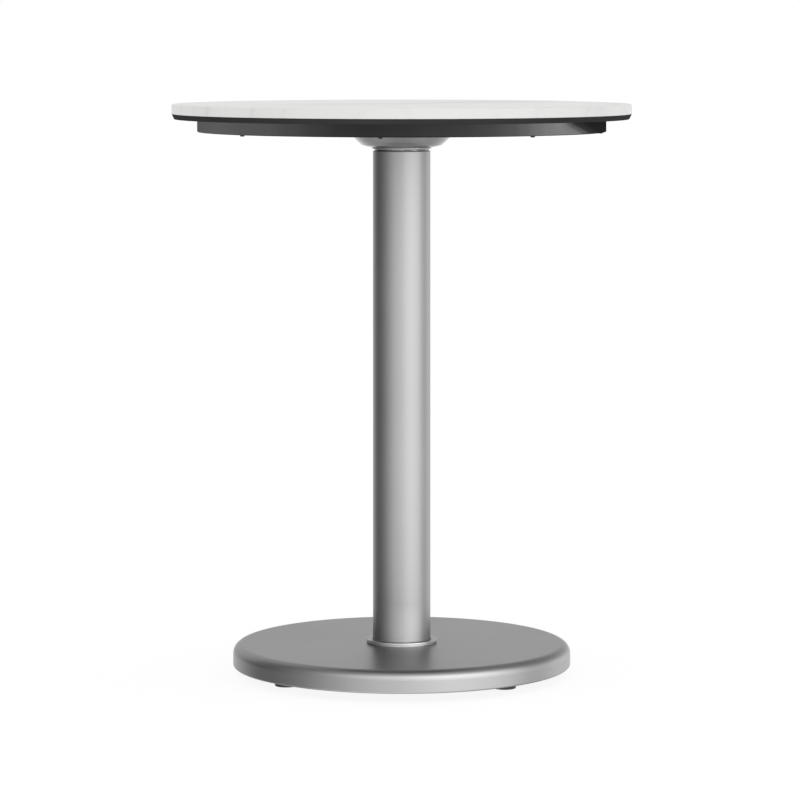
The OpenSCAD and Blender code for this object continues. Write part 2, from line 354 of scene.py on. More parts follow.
# ------------------------------------------------------------------ node help
class Nodes:
    def __init__(self, tree):
        self.t = tree
        tree.nodes.clear()

    def add(self, kind, **values):
        n = self.t.nodes.new(kind)
        for k, v in values.items():
            setattr(n, k, v)
        return n

    def link(self, a, b):
        self.t.links.new(a, b)

    def put(self, node, key, value):
        s = node.inputs[key]
        if hasattr(value, "is_linked") or isinstance(value, bpy.types.NodeSocket):
            self.link(value, s)
        else:
            s.default_value = value

    def math(self, op, a, b=None, c=None, clamp=False):
        n = self.add("ShaderNodeMath", operation=op, use_clamp=clamp)
        self.put(n, 0, a)
        if b is not None:
            self.put(n, 1, b)
        if c is not None:
            self.put(n, 2, c)
        return n.outputs[0]

    def vmath(self, op, a, b=None, scale=None):
        n = self.add("ShaderNodeVectorMath", operation=op)
        self.put(n, 0, a)
        if b is not None:
            self.put(n, 1, b)
        if scale is not None:
            self.put(n, "Scale", scale)
        return n.outputs["Value"] if op in ("DOT_PRODUCT", "LENGTH") else n.outputs[0]

    def noise(self, vec, scale, detail=3.0, rough=0.5, dist=0.0, w=None):
        n = self.add("ShaderNodeTexNoise")
        if w is not None:
            n.noise_dimensions = "4D"
            n.inputs["W"].default_value = w
        self.put(n, "Vector", vec)
        n.inputs["Scale"].default_value = scale
        n.inputs["Detail"].default_value = detail
        n.inputs["Roughness"].default_value = rough
        n.inputs["Distortion"].default_value = dist
        return n

    def ramp(self, fac, stops, interp="LINEAR"):
        n = self.add("ShaderNodeValToRGB")
        n.color_ramp.interpolation = interp
        e = n.color_ramp.elements
        while len(e) > 1:
            e.remove(e[-1])
        for i, (p, v) in enumerate(stops):
            if i == 0:
                e[0].position = p
                x = e[0]
            else:
                x = e.new(p)
            x.color = (v, v, v, 1) if isinstance(v, (int, float)) else (*v, 1)
        self.put(n, 0, fac)
        return n.outputs[0]

    def mix(self, fac, a, b, blend="MIX"):
        n = self.add("ShaderNodeMix", data_type="RGBA", blend_type=blend)
        n.clamp_factor = True
        self.put(n, 0, fac)
        for key, v in ((6, a), (7, b)):
            s = n.inputs[key]
            if isinstance(v, bpy.types.NodeSocket):
                self.link(v, s)
            else:
                s.default_value = (*v, 1) if len(v) == 3 else v
        return n.outputs[2]

    def remap(self, v, a, b, c, d):
        n = self.add("ShaderNodeMapRange")
        n.clamp = True
        self.put(n, 0, v)
        for k, x in zip((1, 2, 3, 4), (a, b, c, d)):
            n.inputs[k].default_value = x
        return n.outputs[0]

    def bump(self, height, strength, distance, normal=None):
        n = self.add("ShaderNodeBump")
        n.inputs["Strength"].default_value = strength
        n.inputs["Distance"].default_value = distance
        self.put(n, "Height", height)
        if normal is not None:
            self.link(normal, n.inputs["Normal"])
        return n.outputs[0]


def material(name):
    m = bpy.data.materials.new(name)
    m.use_nodes = True
    k = Nodes(m.node_tree)
    out = k.add("ShaderNodeOutputMaterial")
    p = k.add("ShaderNodeBsdfPrincipled")
    k.link(p.outputs[0], out.inputs[0])
    co = k.add("ShaderNodeTexCoord").outputs["Object"]
    return m, k, p, co


def silver_paint(name, base, rough, grain, peel, seed, mottle=0.05, tint=0.52, foot=0.0, side=0.0, graze_sheen=0.0, recess_shade=0.0):
    """Satin silver powder coat: fine metallic grain, a soft orange peel, slight cloudiness; its options paint light and
    shade into the colour.
    """
    m, k, p, co = material(name)
    fine = k.noise(co, 1500.0, 2.0, 0.6, w=seed)
    mid = k.noise(co, 420.0, 3.0, 0.55, w=seed + 1)
    soft = k.noise(co, 9.0, 3.0, 0.5, w=seed + 2)
    geo = k.add("ShaderNodeNewGeometry")
    edge = k.remap(geo.outputs["Pointiness"], 0.505, 0.56, 0.0, 1.0)
    tone = k.math(
        "ADD",
        k.remap(mid.outputs[0], 0.25, 0.75, 1.0 - mottle, 1.0 + mottle * 0.8),
        k.remap(soft.outputs[0], 0.3, 0.7, -0.025, 0.025),
    )
    tone = k.math("ADD", tone, k.math("MULTIPLY", edge, 0.05))
    if foot:
        # painted light: made paler towards the collar, and the more so where the surface faces the eye, for camera rays
        # only
        sep = k.add("ShaderNodeSeparateXYZ")
        k.link(co, sep.inputs[0])
        lw = k.add("ShaderNodeLayerWeight")
        lw.inputs["Blend"].default_value = 0.5
        seen = k.add("ShaderNodeLightPath").outputs["Is Camera Ray"]
        painted_foot_light = k.math("MULTIPLY", k.remap(lw.outputs["Facing"], 0.0, 0.6, foot, foot * 0.1), seen)
        low = k.remap(sep.outputs[2], Z_COLLAR, Z_COLLAR + 0.050, 1.0, 0.0)
        tone = k.math("MULTIPLY", tone, k.math("ADD", 1.0, k.math("MULTIPLY", painted_foot_light, low)))
    if side:
        # painted light: the upright outer faces are made brighter than the top, by the way the surface faces
        up = k.add("ShaderNodeSeparateXYZ")
        k.link(geo.outputs["Normal"], up.inputs[0])
        tone = k.math("MULTIPLY", tone, k.remap(up.outputs[2], 0.35, 0.85, 1.0 + side, 1.0))
    if recess_shade:
        # painted shade: the recess over the column's end is darkened, up to a wavy noise edge
        sep = k.add("ShaderNodeSeparateXYZ")
        k.link(co, sep.inputs[0])
        flat = k.add("ShaderNodeVectorMath", operation="MULTIPLY")
        k.link(co, flat.inputs[0])
        flat.inputs[1].default_value = (1, 1, 0)
        rad = k.add("ShaderNodeVectorMath", operation="LENGTH")
        k.link(flat.outputs[0], rad.inputs[0])
        wave = k.noise(co, 60.0, 2.0, 0.5, w=seed + 6)
        top = k.remap(wave.outputs[0], 0.36, 0.6, Z_COL + 0.0009, Z_COL + 0.0026)
        below = k.remap(k.math("SUBTRACT", sep.outputs[2], top), -0.0002, 0.0002, recess_shade, 0.0)
        inside = k.remap(rad.outputs["Value"], 0.0372, 0.0386, 1.0, 0.0)
        tone = k.math("MULTIPLY", tone, k.math("SUBTRACT", 1.0, k.math("MULTIPLY", below, inside)))
    if graze_sheen:
        # painted sheen: the upright face is made a little paler as it turns away from the eye
        wall = k.add("ShaderNodeSeparateXYZ")
        k.link(geo.outputs["Normal"], wall.inputs[0])
        lw = k.add("ShaderNodeLayerWeight")
        lw.inputs["Blend"].default_value = 0.5
        away = k.math("MULTIPLY", k.remap(lw.outputs["Facing"], 0.2, 0.5, 0.0, graze_sheen), k.remap(wall.outputs[2], 0.3, 0.7, 1.0, 0.0))
        tone = k.math("MULTIPLY", tone, k.math("ADD", 1.0, away))
    col = k.vmath("SCALE", base, scale=tone)
    k.put(p, "Base Color", col)
    p.inputs["Metallic"].default_value = 1.0
    p.inputs["Specular Tint"].default_value = (tint, tint, tint, 1.0)
    r = k.math(
        "ADD",
        k.remap(mid.outputs[0], 0.2, 0.8, rough - 0.025, rough + 0.03),
        k.remap(soft.outputs[0], 0.3, 0.7, -0.015, 0.02),
    )
    k.put(p, "Roughness", r)
    b = k.bump(fine.outputs[0], grain, 0.00006)
    peel_n = k.noise(co, 260.0, 1.0, 0.4, w=seed + 3)
    b = k.bump(peel_n.outputs[0], peel, 0.00025, b)
    k.link(b, p.inputs["Normal"])
    return m


def gloss_over(k, m, p, normal, rough, level, painted_shine=None):
    """A thin even gloss on a matt body: the body has none of its own, so no pale rim at its edges."""
    p.inputs["Specular IOR Level"].default_value = 0.0
    g = k.add("ShaderNodeBsdfGlossy")
    k.put(g, "Color", (level, level, level, 1.0))
    k.put(g, "Roughness", rough)
    k.link(normal, g.inputs["Normal"])
    add = k.add("ShaderNodeAddShader")
    k.link(p.outputs[0], add.inputs[0])
    k.link(g.outputs[0], add.inputs[1])
    # the painted reflection, if given, is added as emission
    if painted_shine is not None:
        e = k.add("ShaderNodeEmission")
        k.put(e, "Strength", painted_shine)
        more = k.add("ShaderNodeAddShader")
        k.link(add.outputs[0], more.inputs[0])
        k.link(e.outputs[0], more.inputs[1])
        add = more
    out = [n for n in m.node_tree.nodes if n.type == "OUTPUT_MATERIAL"][0]
    k.link(add.outputs[0], out.inputs["Surface"])


def painted_strip_reflection(k, stops, slant):
    """Painted reflection: the studio's light panels as the black enamel shows them, by the way the reflection points,
    added as emission.
    """
    refl = k.add("ShaderNodeTexCoord").outputs["Reflection"]
    f = k.vmath("DOT_PRODUCT", refl, tuple(TO_CAM))
    r = k.vmath("DOT_PRODUCT", refl, tuple(RIGHT))
    turn = k.math("MULTIPLY", k.math("ARCTAN2", r, f), 180 / math.pi)
    sep = k.add("ShaderNodeSeparateXYZ")
    k.link(k.add("ShaderNodeNewGeometry").outputs["Position"], sep.inputs[0])
    lean = k.remap(sep.outputs[2], Z_HOOP, Z_HOOP + 0.015, -slant, slant)
    turn = k.math("ADD", turn, k.math("MULTIPLY", lean, k.remap(turn, 92, 112, 0.0, 1.0)))
    v = k.ramp(k.math("ADD", k.math("DIVIDE", turn, 360), 0.5), [((x + 180) / 360, y * 4) for x, y in stops], "EASE")
    up = k.add("ShaderNodeSeparateXYZ")
    k.link(refl, up.inputs[0])
    level = k.remap(k.math("ABSOLUTE", up.outputs[2]), 0.25, 0.85, 0.25, 0.05)
    return k.math("MULTIPLY", v, level)


def black_paint(name, base, rough, seed, level=0.012, stops=None, slant=0.0):
    m, k, p, co = material(name)
    peel = k.noise(co, 520.0, 2.0, 0.5, w=seed)
    fine = k.noise(co, 1800.0, 2.0, 0.6, w=seed + 1)
    soft = k.noise(co, 14.0, 3.0, 0.5, w=seed + 2)
    geo = k.add("ShaderNodeNewGeometry")
    edge = k.remap(geo.outputs["Pointiness"], 0.51, 0.58, 0.0, 1.0)
    tone = k.math(
        "MULTIPLY",
        k.remap(soft.outputs[0], 0.3, 0.7, 0.85, 1.15),
        k.remap(fine.outputs[0], 0.2, 0.8, 0.9, 1.1),
    )
    tone = k.math("ADD", tone, k.math("MULTIPLY", edge, 0.5))
    k.put(p, "Base Color", k.vmath("SCALE", base, scale=tone))
    b = k.bump(fine.outputs[0], 0.25, 0.00006)
    b = k.bump(peel.outputs[0], 0.35, 0.00016, b)
    k.link(b, p.inputs["Normal"])
    r = k.remap(peel.outputs[0], 0.2, 0.8, rough - 0.04, rough + 0.05)
    painted_shine = None
    # painted reflection of the light panels, as emission
    if stops:
        painted_shine = k.math("MULTIPLY", painted_strip_reflection(k, stops, slant), k.remap(soft.outputs[0], 0.3, 0.7, 0.96, 1.04))
        painted_shine = k.math("MULTIPLY", painted_shine, k.remap(peel.outputs[0], 0.2, 0.8, 0.97, 1.03))
    gloss_over(k, m, p, b, r, level, painted_shine)
    return m


def plated(name, base, rough, seed, tint=(0.97, 0.99, 1.03), brushed=0.0):
    """Plated or turned steel hardware."""
    m, k, p, co = material(name)
    n = k.noise(co, 700.0, 3.0, 0.55, w=seed)
    big = k.noise(co, 90.0, 2.0, 0.5, w=seed + 1)
    col = k.mix(
        k.remap(big.outputs[0], 0.35, 0.65, 0.0, 1.0),
        base,
        tuple(b * t for b, t in zip(base, tint)),
    )
    tone = k.remap(n.outputs[0], 0.2, 0.8, 0.9, 1.06)
    k.put(p, "Base Color", k.vmath("SCALE", col, scale=tone))
    p.inputs["Metallic"].default_value = 1.0
    k.put(p, "Roughness", k.remap(n.outputs[0], 0.2, 0.8, rough - 0.06, rough + 0.1))
    h = n.outputs[0]
    if brushed:
        sep = k.add("ShaderNodeSeparateXYZ")
        k.link(co, sep.inputs[0])
        rad = k.math(
            "SQRT",
            k.math(
                "ADD",
                k.math("MULTIPLY", sep.outputs[0], sep.outputs[0]),
                k.math("MULTIPLY", sep.outputs[1], sep.outputs[1]),
            ),
        )
        rings = k.math("SINE", k.math("MULTIPLY", rad, brushed))
        h = k.math("ADD", h, k.math("MULTIPLY", rings, 0.3))
    k.link(k.bump(h, 0.3, 0.00008), p.inputs["Normal"])
    return m


def cast_iron(name, base, seed):
    m, k, p, co = material(name)
    n1 = k.noise(co, 320.0, 4.0, 0.6, w=seed)
    n2 = k.noise(co, 45.0, 3.0, 0.55, w=seed + 1)
    vor = k.add("ShaderNodeTexVoronoi")
    vor.inputs["Scale"].default_value = 260.0
    k.link(co, vor.inputs["Vector"])
    tone = k.math(
        "MULTIPLY",
        k.remap(n2.outputs[0], 0.3, 0.7, 0.7, 1.3),
        k.remap(n1.outputs[0], 0.25, 0.75, 0.85, 1.15),
    )
    k.put(p, "Base Color", k.vmath("SCALE", base, scale=tone))
    p.inputs["Metallic"].default_value = 0.35
    k.put(p, "Roughness", k.remap(n1.outputs[0], 0.2, 0.8, 0.55, 0.8))
    h = k.math("ADD", n1.outputs[0], k.math("MULTIPLY", vor.outputs[0], 0.35))
    k.link(k.bump(h, 0.8, 0.0005), p.inputs["Normal"])
    return m


def nylon(name, base, seed):
    m, k, p, co = material(name)
    n = k.noise(co, 1400.0, 3.0, 0.6, w=seed)
    s = k.noise(co, 120.0, 3.0, 0.5, w=seed + 1)
    tone = k.remap(s.outputs[0], 0.3, 0.7, 0.8, 1.25)
    k.put(p, "Base Color", k.vmath("SCALE", base, scale=tone))
    k.put(p, "Roughness", k.remap(n.outputs[0], 0.2, 0.8, 0.38, 0.55))
    k.link(k.bump(n.outputs[0], 0.4, 0.0001), p.inputs["Normal"])
    return m


def laminate(name, base, seed):
    """Matt black compact board: a fine pebble texture on the face, faint layers on a cut edge."""
    m, k, p, co = material(name)
    n = k.noise(co, 900.0, 2.0, 0.5, w=seed)
    s = k.noise(co, 20.0, 3.0, 0.5, w=seed + 1)
    sep = k.add("ShaderNodeSeparateXYZ")
    k.link(co, sep.inputs[0])
    layers = k.math("SINE", k.math("MULTIPLY", sep.outputs[2], 9000.0))
    tone = k.math(
        "ADD",
        k.remap(s.outputs[0], 0.3, 0.7, 0.88, 1.14),
        k.math("MULTIPLY", layers, 0.05),
    )
    k.put(p, "Base Color", k.vmath("SCALE", base, scale=tone))
    h = k.math("ADD", n.outputs[0], k.math("MULTIPLY", layers, 0.08))
    b = k.bump(h, 0.4, 0.00012)
    k.link(b, p.inputs["Normal"])
    gloss_over(k, m, p, b, k.remap(n.outputs[0], 0.2, 0.8, 0.42, 0.56), 0.012)
    return m


def marble(name):
    """Honed white stone, faint grey veins that run through to the edge."""
    m, k, p, co = material(name)
    warp = k.noise(co, 3.2, 4.0, 0.55, w=2.0)
    warp2 = k.noise(co, 11.0, 4.0, 0.6, w=5.0)
    w1 = k.vmath("SUBTRACT", warp.outputs["Color"], (0.5, 0.5, 0.5))
    w2 = k.vmath("SUBTRACT", warp2.outputs["Color"], (0.5, 0.5, 0.5))
    # veins wander in the middle of the slab and run straight near the rim
    flat = k.add("ShaderNodeVectorMath", operation="MULTIPLY")
    k.link(co, flat.inputs[0])
    flat.inputs[1].default_value = (1, 1, 0)
    rad = k.add("ShaderNodeVectorMath", operation="LENGTH")
    k.link(flat.outputs[0], rad.inputs[0])
    rim = k.remap(rad.outputs["Value"], 0.20, 0.30, 1.0, 0.16)
    q = k.vmath(
        "ADD",
        k.vmath("ADD", co, k.vmath("SCALE", w1, scale=k.math("MULTIPLY", rim, 0.17))),
        k.vmath("SCALE", w2, scale=k.math("MULTIPLY", rim, 0.04)),
    )
    # long veins: distance to a few warped lines, wide and soft beside thin and sharp
    total = None
    veins = [
        # where it meets the rim, in degrees round from the camera, its direction, width in metres, strength
        (-70.0, 36, 0.0060, 0.34),
        (-60.7, 40, 0.0050, 0.28),
        (-54.1, 44, 0.0080, 0.50),
        (-37.9, 52, 0.0065, 0.38),
        (-28.7, 63, 0.0050, 0.24),
        (33.9, 72, 0.0040, 0.16),
        (50.5, 78, 0.0050, 0.26),
        (57.5, 68, 0.0110, 0.36),
        (128.0, 165, 0.0030, 0.30),
        (-118.0, 12, 0.0025, 0.22),
    ]
    broken = k.noise(co, 6.5, 3.0, 0.5, w=9.0)
    presence = k.remap(broken.outputs[0], 0.36, 0.62, 0.15, 1.0)
    presence = k.math("MAXIMUM", presence, k.remap(rim, 0.16, 0.6, 0.85, 0.15))
    for meet, deg, width, strength in veins:
        t = math.radians(meet)
        at = (TO_CAM * math.cos(t) + RIGHT * math.sin(t)) * TOP_R + Vector((0, 0, (Z_SLAB + Z_TOP) / 2))
        a = math.radians(deg)
        n = (-math.sin(a), math.cos(a), 0.12)
        off = at.dot(Vector(n))
        d = k.math("ABSOLUTE", k.math("SUBTRACT", k.vmath("DOT_PRODUCT", q, n), off))
        core = k.math(
            "POWER", 2.718, k.math("MULTIPLY", k.math("DIVIDE", d, width * 0.35), -1.0)
        )
        halo = k.math(
            "POWER", 2.718, k.math("MULTIPLY", k.math("DIVIDE", d, width * 3.0), -1.0)
        )
        v = k.math(
            "MULTIPLY",
            k.math("ADD", k.math("MULTIPLY", core, 0.6), k.math("MULTIPLY", halo, 0.4)),
            strength,
        )
        total = v if total is None else k.math("ADD", total, v)
    total = k.math("MULTIPLY", total, presence)
    # a fine net of hairline veins between them
    net = k.noise(q, 9.0, 5.0, 0.55, w=14.0)
    hair = k.math("ABSOLUTE", k.math("SUBTRACT", net.outputs[0], 0.5))
    hair = k.math("MULTIPLY", k.remap(hair, 0.0, 0.022, 1.0, 0.0), 0.22)
    patch = k.noise(co, 4.0, 2.0, 0.5, w=21.0)
    hair = k.math("MULTIPLY", hair, k.remap(patch.outputs[0], 0.42, 0.62, 0.0, 1.0))
    vein = k.math("ADD", total, hair, clamp=True)
    cloud = k.noise(q, 5.0, 4.0, 0.55, w=31.0)
    grain = k.noise(co, 1300.0, 2.0, 0.5, w=41.0)
    white = k.mix(
        k.remap(cloud.outputs[0], 0.35, 0.68, 0.0, 1.0),
        (0.733, 0.729, 0.722),
        (0.718, 0.714, 0.708),
    )
    col = k.mix(k.math("MULTIPLY", vein, 0.62), white, (0.36, 0.37, 0.385))
    col = k.vmath("SCALE", col, scale=k.remap(grain.outputs[0], 0.2, 0.8, 0.975, 1.02))
    k.put(p, "Base Color", col)
    b = k.bump(grain.outputs[0], 0.12, 0.00006)
    k.link(b, p.inputs["Normal"])
    r = k.math("ADD", k.remap(cloud.outputs[0], 0.3, 0.7, 0.26, 0.34), k.math("MULTIPLY", vein, 0.08))
    gloss_over(k, m, p, b, r, 0.016)
    return m


M = {
    "marble": marble("marble_honed"),
    "backer": laminate("backer_black_board", (0.024, 0.024, 0.0245), 3.0),
    "black_steel": black_paint(
        "hoop_black_satin",
        (0.006, 0.006, 0.0062),
        0.34,
        7.0,
        0.004,
        # degrees round from the camera, brightness of the painted reflection
        [(-180, 0.04), (-172, 0.085), (-123, 0.098), (-99, 0.085), (-80, 0.077), (-64, 0.057), (-48, 0.038), (-34, 0.024), (-20, 0.021), (0, 0.024), (20, 0.031), (34, 0.038), (49, 0.051), (64, 0.075), (72, 0.104), (81, 0.148), (90, 0.182), (100, 0.206), (108, 0.18), (116, 0.09), (124, 0.022), (140, 0.006), (180, 0.004)],
        11.0,
    ),
    "silver_steel": silver_paint("silver_satin_coat", (0.346, 0.346, 0.3465), 0.37, 0.12, 0.02, 11.0, 0.025),
    # painted light: the tube is made paler towards its foot
    "silver_tube": silver_paint("silver_satin_tube", (0.346, 0.346, 0.3465), 0.375, 0.12, 0.02, 29.0, 0.025, foot=0.54),
    # painted sheen: the base's upright face pales as it turns away from the eye
    "silver_base": silver_paint("silver_satin_base", (0.346, 0.346, 0.3465), 0.37, 0.12, 0.02, 11.0, 0.025, graze_sheen=0.10),
    # painted light: the collar's upright faces are brightened
    "silver_trim": silver_paint("silver_trim_lit_sides", (0.346, 0.346, 0.3465), 0.33, 0.10, 0.02, 31.0, 0.02, side=1.2),
    # painted shade: the recess over the column's end is darkened
    "silver_cast": silver_paint("silver_cast_coat", (0.348, 0.348, 0.3485), 0.37, 0.2, 0.12, 17.0, 0.04, tint=0.85, recess_shade=0.66),
    "cast_iron": cast_iron("ballast_cast_iron", (0.05, 0.05, 0.053), 23.0),
    "plain_steel": plated("turned_steel", (0.38, 0.38, 0.39), 0.32, 29.0, brushed=9000.0),
    "zinc_steel": plated("zinc_plated_steel", (0.46, 0.467, 0.48), 0.26, 37.0),
    "spring_steel": plated("oil_black_steel", (0.13, 0.13, 0.14), 0.36, 43.0, tint=(0.9, 0.95, 1.1)),
    "brass": plated("turned_brass", (0.56, 0.40, 0.17), 0.28, 47.0, tint=(1.04, 0.97, 0.9)),
    "nylon": nylon("glide_black_nylon", (0.016, 0.016, 0.017), 53.0),
}
SLOT = {s["node"]: s["material_slot"] for s in frame["record"]["subparts"]}


def dress(obj, slot, look=None):
    obj.data.materials.clear()
    obj.data.materials.append(M[look or slot])


# Every CAD node gets its finish; those replaced below are hidden afterwards.
for name, obj in frame["nodes"].items():
    if len(obj.material_slots) == 0:
        obj.data.materials.append(M[SLOT[name]])
    for s in obj.material_slots:
        s.material = M[SLOT[name]]


def piece(obj, body, slot, *nodes, look=None):
    dress(obj, slot, look)
    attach(obj, body)
    if nodes:
        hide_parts(*nodes)
    return obj


def mm(v):
    return v / MM


# ------------------------------------------------------------------ table top
r, z0, z1 = mm(TOP_R), mm(Z_SLAB), mm(Z_TOP)
p = rounded([(0, z0, 0), (r, z0, 0.7), (r, z1, 1.3, 8), (0, z1, 0)], closed=False)
p = divided(p, 0.06, closed=False)
piece(weighted(lathe("stone_slab", p, 288, closed=False)), "table", "marble", "marble_top")

rb = r - 0.4
p = rounded(
    [
        (0, mm(Z_BOARD), 0),
        (rb - 3.0, mm(Z_BOARD), 0.8),
        (rb, z0 - 0.8, 0.5, 3),
        (rb, z0 - 0.02, 0.1, 1),
        (0, z0 - 0.02, 0),
    ],
    closed=False,
)
p = divided(p, 0.06, closed=False)
piece(weighted(lathe("black_backer", p, 288, closed=False)), "table", "backer", "backer_board")

# ------------------------------------------------------------------ hoop
ro, ri, zb = mm(HOOP_R), mm(HOOP_R) - 15.0, mm(Z_HOOP)
zt = mm(Z_BOARD)
p = rounded([(ri, zb, 1.5), (ro, zb, 1.5), (ro, zt, 1.2), (ri, zt, 1.2)])
piece(weighted(lathe("black_hoop", p, 288)), "table", "black_steel", "stiffener_ring")


def cross_cutter(size, depth):
    """A cross recess, tapered, pointing up into a head whose face looks down."""
    bm = bmesh.new()
    w = size * 0.2
    cross = [(w, w), (w, size), (-w, size), (-w, w), (-size, w), (-size, -w), (-w, -w), (-w, -size), (w, -size), (w, -w), (size, -w), (size, w)]
    rings = []
    for z, f in ((-1.5, 1.35), (0.0, 1.0), (depth, 0.45)):
        rings.append([bm.verts.new((x * f, y * f, z)) for x, y in cross])
    bm.faces.new(rings[0][::-1])
    bm.faces.new(rings[-1])
    for lo, hi in zip(rings, rings[1:]):
        for i in range(12):
            j = (i + 1) % 12
            bm.faces.new((lo[i], lo[j], hi[j], hi[i]))
    bmesh.ops.recalc_face_normals(bm, faces=bm.faces)
    bmesh.ops.scale(bm, vec=(MM, MM, MM), verts=bm.verts)
    mesh = bpy.data.meshes.new("cutter")
    bm.to_mesh(mesh)
    bm.free()
    return bpy.data.objects.new("cutter", mesh)


def domed_screw(name, head_r, head_h, shank_r, length, pitch, recess):
    """One pan-head screw along +Z, its seat at z = 0 and its head below, with a cross recess."""
    bm = bmesh.new()
    dome = [(0.0, -head_h)]
    steps = 12
    for i in range(1, steps + 1):
        t = i / steps
        rr = head_r * math.sin(t * math.pi / 2) ** 0.9
        zz = -head_h * (0.28 + 0.72 * math.cos(t * math.pi / 2) ** 0.75)
        dome.append((rr, zz))
    dome += [(head_r, -0.12 * head_h), (head_r - 0.12, 0.0), (shank_r + 0.25, 0.0), (shank_r, 0.25)]
    prof = [(a * MM, b * MM) for a, b in dome]
    lathe_into(bm, prof, 48, closed=False)
    head = new_object(name + "_head", bm)
    cutter = cross_cutter(recess, head_h * 0.55)
    bpy.context.scene.collection.objects.link(cutter)
    cutter.location.z = -head_h * MM
    # close the open shank end for the cut
    bm = bmesh.new()
    bm.from_mesh(head.data)
    rim = [e for e in bm.edges if len(e.link_faces) == 1]
    bmesh.ops.holes_fill(bm, edges=rim)
    bmesh.ops.recalc_face_normals(bm, faces=bm.faces)
    bm.to_mesh(head.data)
    bm.free()
    b = head.modifiers.new("cut", "BOOLEAN")
    b.operation = "DIFFERENCE"
    b.solver = "EXACT"
    b.object = cutter
    bpy.context.view_layer.update()
    apply_modifiers(head)
    bpy.data.objects.remove(cutter)
    bm = bmesh.new()
    bm.from_mesh(head.data)
    bpy.data.objects.remove(head)
    rod_into(
        bm,
        [
            ("plain", 0.1 * MM, 1.5 * MM, shank_r * MM),
            ("thread", 1.5 * MM, length * MM, shank_r * MM, pitch * MM, 0.6 * pitch * MM),
        ],
        28,
        (0, 0),
    )
    return bm


def scatter(bm_one, name, places, smooth_deg=32.0):
    """Copies of one mesh at (x, y, z, turn) places, as one object of separate solids."""
    one = bpy.data.meshes.new("one")
    bm_one.to_mesh(one)
    bm_one.free()
    bm = bmesh.new()
    for x, y, z, turn in places:
        start = len(bm.verts)
        bm.from_mesh(one)
        bm.verts.ensure_lookup_table()
        mat = Matrix.Translation((x, y, z)) @ Matrix.Rotation(turn, 4, "Z")
        bmesh.ops.transform(bm, matrix=mat, verts=bm.verts[start:])
    bpy.data.meshes.remove(one)
    return new_object(name, bm, smooth_deg)


one = domed_screw("hoop_screw", 3.1, 1.9, 2.0, 26.2, 0.7, 1.5)
HOOP_TURN = -2.4
places = [(*polar(HOOP_MID, i * 45 + HOOP_TURN), Z_HOOP, math.radians(17 + 61 * i)) for i in range(8)]
piece(scatter(one, "hoop_screws", places), "table", "black_steel", "ring_screws")

lo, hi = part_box("spider_screws")
seat_z = zs("spider_washers")[0]
one = domed_screw("arm_screw", 5.9, 3.6, 3.0, 17.5, 1.0, 2.8)
places = []
for i, a in enumerate(FOOT_ANGLES):
    for j, rr in enumerate((0.138, 0.190)):
        places.append((*polar(rr, a), seat_z, math.radians(31 * i + 53 * j)))
piece(scatter(one, "arm_screws", places), "table", "zinc_steel", "spider_screws")

bm = bmesh.new()
wz0, wz1 = zs("spider_washers")
lathe_into(bm, rounded([(3.2, 0, 0.15, 2), (6.3, 0, 0.25, 3), (6.3, mm(wz1 - wz0), 0.25, 3), (3.2, mm(wz1 - wz0), 0.15, 2)]), 48)
piece(scatter(bm, "arm_washers", [(*polar(rr, a), wz0, 0.0) for a in FOOT_ANGLES for rr in (0.138, 0.190)]), "table", "zinc_steel", "spider_washers")

# ------------------------------------------------------------------ hub
BELL_R = 82.0
H = mm(Z_BOARD - Z_COL)
zc = mm(Z_COL)
bell = [
    # spigot and neck
    (31.0, zc - 12.5, 0.4, 2),
    (35.9, zc - 12.5, 1.2, 3),
    (35.9, zc - 0.02, 0.1, 1),
    (36.2, zc - 0.02, 0.1, 1),
    (36.2, zc + 2.2, 0.3, 3),
    (38.7, zc + 2.3, 0.3, 3),
    (39.5, zc + 2.9, 0.6, 4),
    (39.5, zc + 4.2, 0.4, 4),
    (39.1, zc + 4.6, 0.15, 2),
    # shallow cone, round turn, 45 degree cone, rim
    (41.6, zc + 4.85, 0.5, 3),
    (46.8, zc + 6.0, 3.0, 4),
    (52.6, zc + 7.5, 6.0, 8),
    (58.4, zc + 12.3, 12.0, 8),
    (BELL_R - 6.0, zc + 30.2, 8.0, 6),
    (BELL_R, zc + 35.0, 4.0, 5),
    (BELL_R, zc + H - 1.0, 1.0, 4),
    (BELL_R - 10.0, zc + H - 1.0, 1.2, 4),
    (BELL_R - 10.0, zc + H - 7.0, 2.5, 4),
    (BELL_R - 13.5, zc + H - 10.5, 3.0, 4),
    (48.5, zc + 12.5, 6.0, 6),
    (41.0, zc + 9.5, 6.0, 6),
    (6.7, zc + 9.5, 0.6, 3),
    (6.7, zc + 0.0, 0.6, 3),
    (31.0, zc + 0.0, 2.0, 4),
]


